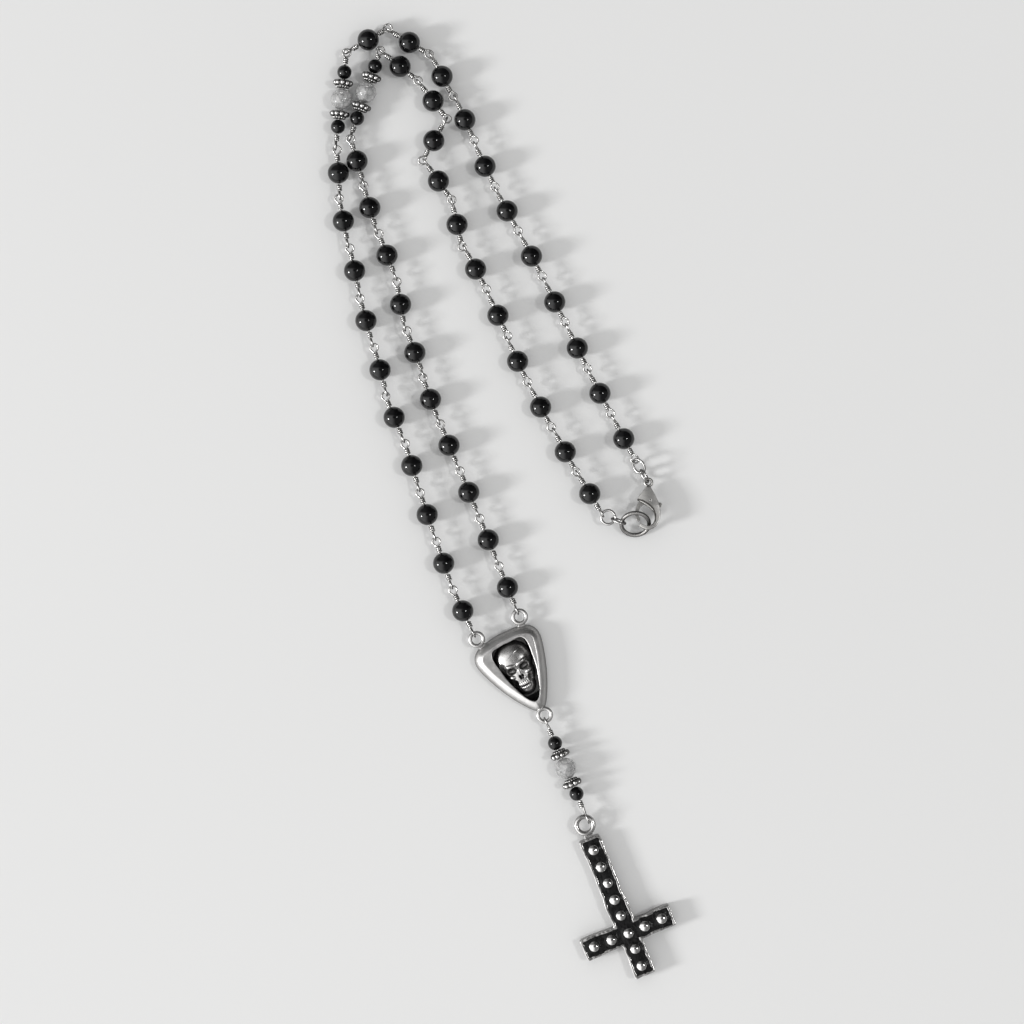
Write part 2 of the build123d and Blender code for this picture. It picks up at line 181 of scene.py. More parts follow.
def catmull(points, steps):
    """Smooth curve through the points, with this many steps between neighbours."""
    p = np.array(points, float)
    p = np.vstack([2 * p[0] - p[1], p, 2 * p[-1] - p[-2]])
    curve = []
    for i in range(1, len(p) - 2):
        for k in range(steps):
            t = k / steps
            curve.append(0.5 * ((2 * p[i]) + (p[i + 1] - p[i - 1]) * t
                                + (2 * p[i - 1] - 5 * p[i] + 4 * p[i + 1] - p[i + 2]) * t * t
                                + (3 * p[i] - p[i - 1] - 3 * p[i + 1] + p[i + 2]) * t ** 3))
    curve.append(p[-2])
    return np.array(curve)


def lathe_x(profile, segments, closed, wobble=0.0, seed=0):
    """Profile of (x, radius) turned round X. closed joins its last point to its first."""
    verts = []
    for x, radius in profile:
        for j in range(segments):
            angle = 2 * math.pi * j / segments
            y, z = math.cos(angle), math.sin(angle)
            uneven = 1 + wobble * noise.noise(Vector((x * 0.6 + seed, y * 1.3, z * 1.3)))
            verts.append((x, radius * uneven * y, radius * uneven * z))
    return verts, grid_faces(len(profile), segments, closed)


def ball(centre, radius, segments, rings):
    x, y, z = centre
    verts = [(x, y, z + radius)]
    for i in range(1, rings):
        polar = math.pi * i / rings
        for j in range(segments):
            angle = 2 * math.pi * j / segments
            verts.append((x + radius * math.sin(polar) * math.cos(angle),
                          y + radius * math.sin(polar) * math.sin(angle),
                          z + radius * math.cos(polar)))
    verts.append((x, y, z - radius))
    faces = [(0, 1 + j, 1 + (j + 1) % segments) for j in range(segments)]
    for i in range(rings - 2):
        for j in range(segments):
            a, b = 1 + i * segments + j, 1 + i * segments + (j + 1) % segments
            faces.append((a, a + segments, b + segments, b))
    last = len(verts) - 1
    row = 1 + (rings - 2) * segments
    faces += [(last, row + (j + 1) % segments, row + j) for j in range(segments)]
    return verts, faces


def place(name, mesh, matrix, body, node):
    """Object that moves with a body and stands in for a CAD node, which it hides."""
    ob = bpy.data.objects.new(name, mesh)
    scene.collection.objects.link(ob)
    ob.matrix_world = matrix
    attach(ob, body)
    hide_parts(node)


def shift(x, y, z):
    return Matrix.Translation((x * MM, y * MM, z * MM))


def rotate(degrees, axis):
    return Matrix.Rotation(math.radians(degrees), 4, axis)


X_TO_Z = Matrix.Rotation(-math.pi / 2, 4, "Y")   # stands a lathed piece upright


def from_cad(node, voxel, relax, local, name):
    """CAD node remeshed in voxels and relaxed, so its edges are soft like a casting's.
    Returns the mesh in the local frame and its vertices as an array in metres."""
    ob = bpy.data.objects.new("tmp_" + node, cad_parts[node].data.copy())
    ob.data.materials.clear()
    ob.data.transform(local.inverted())
    scene.collection.objects.link(ob)
    remesh = ob.modifiers.new("r", "REMESH")
    remesh.mode = "VOXEL"
    remesh.voxel_size = voxel * MM
    remesh.use_smooth_shade = True
    smooth = ob.modifiers.new("s", "SMOOTH")
    smooth.factor = 0.5
    smooth.iterations = relax
    depsgraph = bpy.context.evaluated_depsgraph_get()
    mesh = bpy.data.meshes.new_from_object(ob.evaluated_get(depsgraph))
    mesh.name = name
    bpy.data.objects.remove(ob)
    return mesh, read_vectors(mesh, "co")


def read_vectors(mesh, field):
    values = np.zeros(len(mesh.vertices) * 3, np.float64)
    mesh.vertices.foreach_get(field, values)
    return values.reshape(-1, 3)


def store(mesh, points, material):
    """Write moved vertices back, shade smooth and give the mesh its material."""
    mesh.vertices.foreach_set("co", points.astype(np.float32).ravel())
    mesh.polygons.foreach_set("use_smooth", [True] * len(mesh.polygons))
    mesh.update()
    mesh.materials.clear()
    mesh.materials.append(material)


def set_patina(mesh, values):
    """Point attribute that the silver materials read as extra tarnish."""
    attribute = mesh.attributes.new("patina", "FLOAT", "POINT")
    attribute.data.foreach_set("value", np.asarray(values, np.float32))


# ---- shader helpers ---------------------------------------------------------
class Nodes:
    """Node tree of a material or world, and the shader node that it feeds."""

    def __init__(self, owner, shader="Principled BSDF"):
        owner.use_nodes = True
        self.owner = owner
        self.tree = owner.node_tree
        self.shader = self.tree.nodes[shader]

    def new(self, kind, **settings):
        node = self.tree.nodes.new(kind)
        for key, value in settings.items():
            setattr(node, key, value)
        return node

    def feed(self, node, inputs):
        """Fill inputs, by name or index, each with a fixed value or a link."""
        for key, value in inputs.items():
            if isinstance(value, bpy.types.NodeSocket):
                self.tree.links.new(value, node.inputs[key])
            else:
                node.inputs[key].default_value = value
        return node

    def set(self, inputs):
        self.feed(self.shader, inputs)

    def coords(self, grain=(1, 1, 1), vary=True):
        """Object coordinates in millimetres, stretched by grain.
        vary moves them by a random amount for each object."""
        source = self.new("ShaderNodeTexCoord").outputs["Object"]
        scaled = self.feed(self.new("ShaderNodeVectorMath", operation="MULTIPLY"),
                           {0: source, 1: tuple(1000 * g for g in grain)}).outputs[0]
        if not vary:
            return scaled
        random_value = self.new("ShaderNodeObjectInfo").outputs["Random"]
        moved = self.new("ShaderNodeVectorMath", operation="ADD")
        return self.feed(moved, {0: scaled, 1: self.math("MULTIPLY", random_value, 91.7)}).outputs[0]

    def noise(self, vector, scale, detail, rough, distort=0.0):
        return self.feed(self.new("ShaderNodeTexNoise"), {
            "Scale": scale, "Detail": detail, "Roughness": rough, "Distortion": distort,
            "Vector": vector}).outputs[0]

    def remap(self, value, span, to=(0, 1), **settings):
        return self.feed(self.new("ShaderNodeMapRange", **settings), {
            "From Min": span[0], "From Max": span[1], "To Min": to[0], "To Max": to[1],
            "Value": value}).outputs[0]

    def math(self, operation, a, b):
        return self.feed(self.new("ShaderNodeMath", operation=operation), {0: a, 1: b}).outputs[0]

    def mix(self, factor, a, b):
        a, b = ((*c, 1) if isinstance(c, tuple) else c for c in (a, b))
        return self.feed(self.new("ShaderNodeMix", data_type="RGBA"),
                         {0: factor, 6: a, 7: b}).outputs[2]

    def ao(self, distance):
        node = self.new("ShaderNodeAmbientOcclusion", samples=8)
        return self.feed(node, {"Distance": distance * MM}).outputs["AO"]

    def bump(self, height, distance, strength, under=None):
        """Bump normal, laid over an earlier one if given."""
        inputs = {"Strength": strength, "Distance": distance * MM, "Height": height}
        if under is not None:
            inputs["Normal"] = under
        return self.feed(self.new("ShaderNodeBump"), inputs).outputs[0]


def new_material(name):
    return Nodes(bpy.data.materials.new(name))


# ---- metals -----------------------------------------------------------------
def metal(name, base, dark, rough, bump, ao, grain=(1, 1, 1), grain_scale=3.0, lump=None,
          patina=1.0, painted=False, brush=None, wear=0.0, sides=0.7, band=(0.30, 0.84)):
    """Tarnished metal with painted shade on its flanks. rough: roughness range. bump, grain,
    grain_scale: fine surface grain.
    ao, patina: reach and strength of the tarnish in corners. lump: (height, scale) of waves.
    painted: adds the patina attribute. brush: stretch of brush marks. wear: dark blotches.
    sides, band: strength of the painted shade on the flanks, and the upward normals over which it
    fades."""
    mat = new_material(name)
    grained = mat.coords(grain)
    even = mat.coords()
    fine = mat.noise(grained, scale=grain_scale, detail=5, rough=0.6)
    broad = mat.noise(even, scale=0.45, detail=4, rough=0.6)
    spots = mat.noise(even, scale=2.2, detail=6, rough=0.7)
    # tarnish gathers where the surface is shaded by its neighbours
    shade = mat.remap(mat.ao(ao), span=(0.40, 1.0), to=(1, 0))
    shade = mat.math("MULTIPLY", shade, mat.remap(spots, span=(0.3, 0.7), to=(0.55, 1.0)))
    shade = mat.math("MULTIPLY", shade, patina)
    # painted shade: flanks darken towards the dark colour as their normals turn away from up, while
    # the tops stay bright
    normal = mat.new("ShaderNodeNewGeometry").outputs["Normal"]
    split = mat.feed(mat.new("ShaderNodeSeparateXYZ"), {0: normal})
    painted_flank_shade = mat.math("MULTIPLY", mat.remap(split.outputs[2], span=band, to=(sides, 0)),
                     mat.remap(spots, span=(0.25, 0.6), to=(0.8, 1.0)))
    shade = mat.math("MAXIMUM", shade, painted_flank_shade)
    if painted:
        attribute = mat.new("ShaderNodeAttribute", attribute_name="patina")
        shade = mat.math("MAXIMUM", shade, attribute.outputs["Fac"])
    if wear:
        blotches = mat.noise(even, scale=1.1, detail=6, rough=0.75)
        shade = mat.math("MAXIMUM", shade, mat.remap(blotches, span=(0.52, 0.78), to=(0, wear)))
    tone = mat.mix(mat.remap(broad, span=(0.3, 0.7)),
                   tuple(c * 0.86 for c in base), tuple(min(1, c * 1.07) for c in base))
    roughness = mat.math("ADD", mat.remap(fine, span=(0.3, 0.7), to=rough),
                         mat.math("MULTIPLY", shade, 0.28))
    roughness = mat.math("ADD", roughness, mat.remap(broad, span=(0.3, 0.7), to=(-0.03, 0.05)))
    relief = mat.bump(fine, distance=bump, strength=0.7)
    if lump:
        height, scale = lump
        waves = mat.noise(even, scale=scale, detail=3, rough=0.5)
        relief = mat.bump(waves, distance=height, strength=0.8, under=relief)
    if brush:
        marks = mat.noise(mat.coords(brush, vary=False), scale=1.0, detail=4, rough=0.7)
        relief = mat.bump(marks, distance=0.012, strength=0.6, under=relief)
    mat.set({"Base Color": mat.mix(shade, tone, dark), "Metallic": 1.0,
             "Roughness": roughness, "Normal": relief})
    return mat.owner


# the dark colours below serve both the tarnish in hollows and the painted shade on the flanks; sides
# sets how dark that painted shade gets
TARNISH_AND_PAINTED_SHADE = (0.055, 0.052, 0.05)
OXIDE_AND_PAINTED_SHADE = (0.02, 0.02, 0.02)
m_wire = metal("eye_wire_silver", (0.80, 0.79, 0.775), TARNISH_AND_PAINTED_SHADE, rough=(0.14, 0.27), bump=0.006,
               ao=0.4, grain=(0.35, 2.2, 2.2), grain_scale=2.0, sides=0.95, band=(0.50, 0.90))
m_ring = metal("bright_silver_wire", (0.82, 0.81, 0.80), TARNISH_AND_PAINTED_SHADE, rough=(0.13, 0.26), bump=0.008,
               ao=0.5, grain_scale=3.2, patina=0.9, sides=0.95, band=(0.52, 0.92))
m_end = metal("ribbed_antique_silver", (0.42, 0.41, 0.40), (0.03, 0.03, 0.03), rough=(0.24, 0.4),
              bump=0.012, ao=0.35, grain_scale=4.0, wear=0.35, sides=0.95, band=(0.50, 0.92))
m_spacer = metal("granulated_silver", (0.74, 0.73, 0.72), OXIDE_AND_PAINTED_SHADE, rough=(0.16, 0.3), bump=0.01,
                 ao=0.85, sides=1.0, band=(0.52, 0.93))
m_bezel = metal("satin_silver", (0.70, 0.69, 0.68), (0.018, 0.018, 0.018), rough=(0.27, 0.42),
                bump=0.006, ao=0.9, grain_scale=5.0, lump=(0.05, 0.35), patina=0.95,
                painted=True, brush=(0.5, 6.5, 6.5), wear=0.16, sides=0.75)
m_skull = metal("relief_silver", (0.64, 0.63, 0.62), (0.012, 0.012, 0.012), rough=(0.20, 0.34),
                bump=0.010, ao=0.8, grain_scale=4.0, lump=(0.03, 1.4), painted=True,
                wear=0.22, sides=0.6)
m_cross = metal("cast_silver", (0.72, 0.71, 0.70), OXIDE_AND_PAINTED_SHADE, rough=(0.15, 0.26), bump=0.010,
                ao=1.0, grain_scale=1.6, lump=(0.05, 0.5), wear=0.25)
m_stud = metal("polished_stud_silver", (0.80, 0.79, 0.78), OXIDE_AND_PAINTED_SHADE, rough=(0.07, 0.15),
               bump=0.006, ao=0.7, grain_scale=1.6, lump=(0.02, 1.1), wear=0.05, sides=0.9)
m_clasp = metal("aged_clasp_silver", (0.64, 0.63, 0.61), (0.05, 0.047, 0.043),
                rough=(0.25, 0.40), bump=0.010, ao=0.8, grain=(0.6, 3, 3), patina=0.95,
                painted=True, brush=(7, 0.7, 7), wear=0.18, sides=0.85)
m_spring = metal("spring_steel_strip", (0.52, 0.52, 0.53), (0.05, 0.05, 0.05),
                 rough=(0.22, 0.34), bump=0.004, ao=0.4, grain=(0.4, 4, 4), patina=0.85)


# ---- stone and enamel -------------------------------------------------------
def onyx():
    mat = new_material("polished_onyx")
    even = mat.coords()
    cloud = mat.noise(even, scale=0.35, detail=5, rough=0.6, distort=0.6)
    smear = mat.noise(mat.coords((1, 0.26, 0.6)), scale=1.3, detail=5, rough=0.65)
    pits = mat.noise(even, scale=9.0, detail=3, rough=0.5)
    waves = mat.bump(mat.noise(even, scale=0.5, detail=2, rough=0.5), distance=0.02, strength=0.3)
    mat.set({
        "Base Color": mat.mix(mat.remap(cloud, span=(0.35, 0.75)),
                              (0.002, 0.002, 0.0022), (0.007, 0.007, 0.0075)),
        "Roughness": mat.remap(smear, span=(0.35, 0.75), to=(0.02, 0.075)),
        "IOR": 1.50, "Specular IOR Level": 0.45, "Coat Weight": 0.0, "Coat Roughness": 0.02,
        "Normal": mat.bump(mat.remap(pits, span=(0.62, 0.75), to=(0, -1)),
                           distance=0.004, strength=0.5, under=waves)})
    return mat.owner


def crystal():
    """Clear crystal with dark crack lines and milky clouds."""
    mat = new_material("crackled_crystal")
    even = mat.coords()
    wander = mat.feed(mat.new("ShaderNodeTexNoise"), {"Scale": 0.9, "Vector": even})
    warped = mat.feed(mat.new("ShaderNodeVectorMath", operation="ADD"),
                      {0: even, 1: wander.outputs["Color"]}).outputs[0]

    def cracks(scale, width):
        cells = mat.feed(mat.new("ShaderNodeTexVoronoi", feature="DISTANCE_TO_EDGE"),
                         {"Scale": scale, "Vector": warped})
        return mat.remap(cells.outputs["Distance"], span=(0, width), to=(1, 0))

    large, small = cracks(scale=0.42, width=0.05), cracks(scale=0.95, width=0.04)
    broken = mat.remap(mat.noise(even, scale=0.6, detail=4, rough=0.6), span=(0.42, 0.58))
    line = mat.math("MAXIMUM", large, mat.math("MULTIPLY", small, broken))
    milk = mat.remap(mat.noise(warped, scale=0.55, detail=6, rough=0.65), span=(0.36, 0.66))
    tone = mat.mix(milk, (0.96, 0.96, 0.96), (0.66, 0.655, 0.65))
    clear = mat.math("SUBTRACT", mat.remap(milk, span=(0, 1), to=(0.78, 0.30)),
                     mat.math("MULTIPLY", line, 0.28))
    rough = mat.math("ADD", mat.remap(milk, span=(0, 1), to=(0.04, 0.14)),
                     mat.math("MULTIPLY", line, 0.2))
    ripple = mat.noise(even, scale=1.4, detail=4, rough=0.6)
    height = mat.math("ADD", mat.math("MULTIPLY", line, -1.0), mat.math("MULTIPLY", ripple, 0.25))
    mat.set({
        "Base Color": mat.mix(mat.math("MULTIPLY", line, 0.85), tone, (0.04, 0.04, 0.04)),
        "Transmission Weight": clear, "Roughness": rough,
        "IOR": 1.54, "Coat Weight": 0.4, "Coat Roughness": 0.03,
        "Normal": mat.bump(height, distance=0.03, strength=0.5)})
    return mat.owner


def flaw():
    mat = new_material("crystal_fracture")
    mottle = mat.noise(mat.coords(), scale=1.6, detail=6, rough=0.7)
    mat.set({
        "Base Color": mat.mix(mat.remap(mottle, span=(0.35, 0.65)),
                              (0.9, 0.9, 0.9), (0.25, 0.25, 0.25)),
        "Roughness": mat.remap(mottle, span=(0.3, 0.7), to=(0.12, 0.5)),
        "Specular IOR Level": 1.0})
    return mat.owner


def enamel():
    mat = new_material("black_cold_enamel")
    even = mat.coords()
    broad = mat.noise(even, scale=0.5, detail=5, rough=0.6)
    gloss = mat.noise(even, scale=1.4, detail=6, rough=0.7)
    waves = mat.bump(mat.noise(even, scale=1.0, detail=3, rough=0.5), distance=0.12, strength=0.6)
    mat.set({
        "Base Color": mat.mix(mat.remap(broad, span=(0.35, 0.7)),
                              (0.0015, 0.0015, 0.0015), (0.007, 0.007, 0.007)),
        "Roughness": mat.remap(gloss, span=(0.35, 0.7), to=(0.20, 0.50)),
        "Specular IOR Level": 0.22, "Coat Weight": 0.06, "Coat Roughness": 0.15,
        "Normal": mat.bump(mat.noise(even, scale=4.5, detail=5, rough=0.65),
                           distance=0.035, strength=0.7, under=waves)})
    return mat.owner


m_onyx, m_crystal, m_flaw, m_enamel = onyx(), crystal(), flaw(), enamel()


# ---- eye wire with a wrapped loop at each end -------------------------------
def half_wire(reach, loop_radius, start, upright, sign):
    """From the tip of the wrap's tail, round the stem towards the loop, round the loop and
    into the stem. An upright loop stands in the XZ plane, a flat one lies in the XY plane."""

    def point(x, side, lift=0.0):
        return (sign * x, lift, side) if upright else (sign * x, side, lift)

    wrap_start = start + WIRE_R + 0.02
    wrap_end = min(reach - loop_radius - WIRE_R - 0.08, wrap_start + 3.1 * WRAP_PITCH)
    turns = max(1.0, (wrap_end - wrap_start) / WRAP_PITCH)
    steps = int(round(turns * 10))
    leave = math.radians(38)          # angle round the stem at which the wrap ends
    points = []
    for i in range(steps + 1):
        part = i / steps
        angle = leave - (1 - part) * turns * 2 * math.pi
        radius = WRAP_R + (0.06 if i == 0 else 0.0)     # the tail sticks out a little
        points.append(point(wrap_start + (wrap_end - wrap_start) * part,
                            radius * math.cos(angle), radius * math.sin(angle)))
    for degrees in range(44, 321, 23):
        angle = math.radians(degrees)
        lift = 0.12 * max(0.0, 1 - (degrees - 44) / 60.0)
        points.append(point(reach - loop_radius * math.cos(angle),
                            loop_radius * math.sin(angle), lift))
    points.append(point(reach - loop_radius * 1.02, -0.34 * loop_radius))
    points.append(point(reach - loop_radius - 0.32, -0.05))
    points.append(point(reach - loop_radius - 0.9, 0.0))
    return points


def wire_mesh(name, reaches=(REACH, REACH), loops=(LOOP_R, LOOP_R), start=BEAD_END,
              last_upright=False):
    """Wire along X. The pairs give the first end, at -X, then the last end, at +X."""
    first = half_wire(reaches[0], loops[0], start, True, -1)
    last = half_wire(reaches[1], loops[1], start, last_upright, 1)
    path = catmull(first + [(0, 0, 0)] + last[::-1], 3)
    return Build().add(*sweep(path, rounded_tips(len(path), WIRE_R), 10)).mesh(name, m_wire)


# ---- beads ------------------------------------------------------------------
def bead_mesh(name, diameter, seed):
    """Round bead with a softened bore along X."""
    radius, bore = diameter / 2, 0.40
    rim = math.asin((bore + 0.16) / radius)
    angles = [rim + (math.pi - 2 * rim) * i / 40 for i in range(41)]
    profile = [(-radius * math.cos(a), radius * math.sin(a)) for a in angles]
    end = radius * math.cos(rim)
    profile += [(end - 0.05, bore + 0.04), (end - 0.16, bore), (0, bore),
                (-end + 0.16, bore), (-end + 0.05, bore + 0.04)]
    return Build().add(*lathe_x(profile, 64, True, 0.0025, seed)).mesh(name, m_onyx)


def crystal_mesh(name):
    """Faceted round: rows of corners set half a step apart, joined by a convex hull."""
    radius = CRYSTAL_D / 2
    rnd = random.Random(7)
    # (latitude in degrees, corners in the row)
    rows = [(-74, 8), (-54, 9), (-32, 10), (-10.7, 10), (10.7, 10), (32, 10), (54, 9), (74, 8)]
    bm = bmesh.new()
    for k, (latitude, corners) in enumerate(rows):
        for j in range(corners):
            angle = 2 * math.pi * (j + 0.5 * (k % 2)) / corners + rnd.uniform(-0.03, 0.03)
            tilt = math.radians(latitude + rnd.uniform(-1.2, 1.2))
            bm.verts.new((radius * math.sin(tilt), radius * math.cos(tilt) * math.cos(angle),
                          radius * math.cos(tilt) * math.sin(angle)))
    bmesh.ops.convex_hull(bm, input=bm.verts)
    bmesh.ops.bevel(bm, geom=list(bm.edges), offset=0.045, segments=2, profile=0.6,
                    affect="EDGES")
    bmesh.ops.triangulate(bm, faces=[f for f in bm.faces if len(f.verts) > 4])
    bm.verts.index_update()
    build = Build()
    build.add([v.co[:] for v in bm.verts], [[v.index for v in f.verts] for f in bm.faces])
    bm.free()

    def random_vector():
        return Vector((rnd.uniform(-1, 1), rnd.uniform(-1, 1), rnd.uniform(-1, 1)))

    # fracture faces inside the bead, kept within this radius
    limit, corners = 2.45, 9
    for _ in range(9):
        centre = random_vector() * 1.15
        turn = random_vector().normalized().to_track_quat("Z", "Y")
        ring = []
        for j in range(corners):
            angle = 2 * math.pi * j / corners
            size = rnd.uniform(0.35, 0.95)
            point = centre + turn @ Vector((size * math.cos(angle), size * math.sin(angle) * 0.8,
                                            0.18 * math.sin(3 * angle)))
            if point.length > limit:
                point *= limit / point.length
            ring.append(point[:])
        fan = [(0, 1 + j, 1 + (j + 1) % corners) for j in range(corners)]
        build.add([centre[:]] + ring, fan, 1)
    return build.mesh(name, m_crystal, m_flaw, smooth=False)


def spacer_mesh(name):
    """Pierced tube with nine large grains in one row and a finer row on each side."""
    tube = [(-1.12, 0.62), (-1.15, 0.8), (-1.1, 1.25), (-0.75, 1.55), (-0.2, 1.62), (0.6, 1.75),
            (1.0, 1.55), (1.13, 1.1), (1.15, 0.75), (1.1, 0.62), (0, 0.55)]
    build = Build().add(*lathe_x(tube, 36, True))

    def grain(x, row_radius, angle, size, segments, rings):
        centre = (x, row_radius * math.cos(angle), row_radius * math.sin(angle))
        build.add(*ball(centre, size, segments, rings))

    for k in range(9):
        angle = 2 * math.pi * k / 9
        grain(0.25 + 0.04 * math.sin(5 * angle), 2.05, angle,
              0.785 + 0.02 * math.sin(3 * angle), 18, 12)
    for k in range(14):
        grain(-0.78, 1.62, 2 * math.pi * (k + 0.5) / 14, 0.36, 12, 8)
    for k in range(12):
        grain(1.0, 1.15, 2 * math.pi * k / 12, 0.24, 10, 7)
    return build.mesh(name, m_spacer)


# ---- chain ------------------------------------------------------------------
wires = {
    "std": wire_mesh("eye_wire"),
    "first": wire_mesh("eye_wire_first", (FIRST_REACH, REACH), (FIRST_LOOP_R, LOOP_R)),
    "left_last": wire_mesh("eye_wire_left_last", (REACH, LAST_REACH)),
    "right_last": wire_mesh("eye_wire_right_last", last_upright=True),
    "acc_left": wire_mesh("accent_wire_left", (ACCENT_REACH, ACCENT_REACH), start=ACCENT_END),
    "acc_right": wire_mesh("accent_wire_right", (ACCENT_REACH, ACCENT_SHORT_REACH),
                           start=ACCENT_END),
    "pendant": wire_mesh("accent_wire_pendant", (14.10, 15.10), (1.20, 1.50),
                         start=ACCENT_END, last_upright=True),
}
bead_meshes = [bead_mesh("onyx_bead_%d" % i, BEAD_D, 3.1 * i) for i in range(3)]
small_mesh = bead_mesh("onyx_small_bead", SMALL_D, 5.0)
crystal_bead = crystal_mesh("crystal_bead")
spacer = spacer_mesh("grain_spacer")
spin_random = random.Random(11)

# Beads of an accent link: (name, mesh, place along the wire, slot)
ACCENT_PARTS = [
    ("small_bead_in", small_mesh, -SMALL_OFFSET, ONYX_SLOT),
    ("small_bead_out", small_mesh, SMALL_OFFSET, ONYX_SLOT),
    ("spacer_in", spacer, -SPACER_OFFSET, WIRE_SLOT),
    ("spacer_out", spacer, SPACER_OFFSET, WIRE_SLOT),
    ("crystal", crystal_bead, 0, CRYSTAL_SLOT),
]


def spin():
    """Random turn of a bead on its wire."""
    return Matrix.Rotation(spin_random.uniform(0, 6.28), 4, "X")


def add_accent(prefix, x, y, heading, wire, body, node):
    base = shift(x, y, CHAIN_Z) @ rotate(heading, "Z")
    place(prefix + "_wire", wires[wire], base, body, node)
    for name, mesh, offset, slot in ACCENT_PARTS:
        place(prefix + "_" + name, mesh, base @ shift(offset, 0, 0) @ spin(), body, node)


def add_strand(side, rows):
    for i, (x, y, heading) in enumerate(rows):
        if i == ACCENT_INDEX:
            link = side + "_accent_link"
            add_accent(side + "_accent", x, y, heading, "acc_" + side, link, link)
            continue
        number = i + 1 if i < ACCENT_INDEX else i
        body, node = "%s_link_%02d" % (side, number), "%s_bead_link_%02d" % (side, number)
        wire = "first" if i == 0 else side + "_last" if i == len(rows) - 1 else "std"
        base = shift(x, y, CHAIN_Z) @ rotate(heading, "Z")
        place("%s_wire_%02d" % (side, number), wires[wire], base, body, node)
        place("%s_bead_%02d" % (side, number), bead_meshes[number % 3], base @ spin(),
              body, node)


add_strand("left", LEFT)
add_strand("right", RIGHT)
add_accent("pendant", *PENDANT, "pendant", "pendant_link", "pendant_accent_link")

# ---- rings ------------------------------------------------------------------
JUMP_WIRE_R = 0.36
# name: (centre, axis tilt from +Z and its heading in radians, ring radius, angle of the gap)
JUMPS = {"jump_ring_left_a": ((34.236, 56.510, 2.877), 0.870, -2.585, 2.08, 2.2),
         "jump_ring_left_b": ((35.837, 53.736, 2.663), 1.286, 0.519, 1.92, 0.9),
         "jump_ring_right_a": ((25.638, 42.204, 3.209), -0.077, 0.000, 1.95, 1.9),
         "jump_ring_right_b": ((28.556, 41.116, 3.457), 1.366, 1.224, 1.95, 4.3)}
END_RING_AT, END_RING_TILT = (33.260, 40.300, 2.950), 0.6336
END_RING_R, END_RING_WIRE_R, END_RING_RIBS = 3.87, 0.58, 56


def ring_frame(centre, tilt, heading):
    axis = Vector((math.sin(tilt) * math.cos(heading), math.sin(tilt) * math.sin(heading),
                   math.cos(tilt)))
    return Matrix.Translation(Vector(centre) * MM) @ axis.to_track_quat("Z", "Y").to_matrix().to_4x4()


def jump_ring_mesh(name, radius, gap_at, steps=88):
    """Cut ring: the two sawn ends meet with a hairline gap."""
    half_gap = 0.035 / radius
    points = []
    for i in range(steps + 1):
        angle = gap_at + half_gap + (2 * math.pi - 2 * half_gap) * i / steps
        points.append((radius * math.cos(angle), radius * math.sin(angle),
                       0.03 * (i / steps - 0.5)))
    radii = np.full(steps + 1, JUMP_WIRE_R)
    radii[0] = radii[-1] = JUMP_WIRE_R * 0.9
    return Build().add(*sweep(points, radii, 16)).mesh(name, m_ring)


def end_ring_mesh(name, steps=560, sides=18):
    """Closed ring whose wire carries slanting ribs."""
    points, radii = [], np.zeros((steps, sides))
    for i in range(steps):
        angle = 2 * math.pi * i / steps
        points.append((END_RING_R * math.cos(angle), END_RING_R * math.sin(angle), 0))
        for j in range(sides):
            phase = 2 * math.pi * (i * END_RING_RIBS / steps) + 2 * math.pi * j / sides * 2
            rib = (0.5 + 0.5 * math.cos(phase)) ** 0.7
            radii[i, j] = END_RING_WIRE_R * (0.925 + 0.075 * rib)
    return Build().add(*sweep(points, radii, sides, closed=True)).mesh(name, m_end)


for name, (centre, tilt, heading, radius, gap_at) in JUMPS.items():
    place(name + "_visual", jump_ring_mesh(name + "_wire", radius, gap_at),
          ring_frame(centre, tilt, heading), name, name)
place("end_ring_ribbed", end_ring_mesh("ribbed_ring"),
      ring_frame(END_RING_AT, END_RING_TILT, -math.pi / 2), "end_ring", "end_ring")

# ---- centrepiece bezel ------------------------------------------------------
CENTRE_AT, CENTRE_TURN = (-5.166, 11.170), 28.0
CENTRE_FLOOR = 1.3        # height of the window's floor
# +X half of the window's outline, (x, y) from its +Y end to its -Y end
WINDOW = [(0.0, -4.8), (2.6, -4.85), (4.7, -5.35), (5.35, -6.9), (5.15, -9.9),
          (4.6, -13.6), (3.55, -17.3), (2.45, -20.2), (1.2, -22.2), (0.0, -22.9)]
centre_frame = shift(*CENTRE_AT, 0) @ rotate(CENTRE_TURN, "Z")


def window_outline(inset):
    """Whole window outline, smoothed and moved inwards. A negative inset widens it."""
    whole = WINDOW + [(-x, y) for x, y in reversed(WINDOW[1:-1])]
    curve = [tuple(p) for p in catmull(whole[-2:] + whole + whole[:2], 8)][16:-16]
    moved = []
    for i, (x, y) in enumerate(curve):
        before_x, before_y = curve[i - 1]
        after_x, after_y = curve[(i + 1) % len(curve)]
        dx, dy = after_x - before_x, after_y - before_y
        length = math.hypot(dx, dy) or 1
        moved.append((x + dy / length * inset, y - dx / length * inset))
    return moved


def inside(polygon, x, y):
    """Which of the points (x, y) lie in the polygon, by counting crossed edges."""
    result = np.zeros(len(x), bool)
    for i, (xi, yi) in enumerate(polygon):
        xj, yj = polygon[i - 1]
        if yi != yj:
            result ^= ((yi > y) != (yj > y)) & (x < (xj - xi) * (y - yi) / (yj - yi) + xi)
    return result


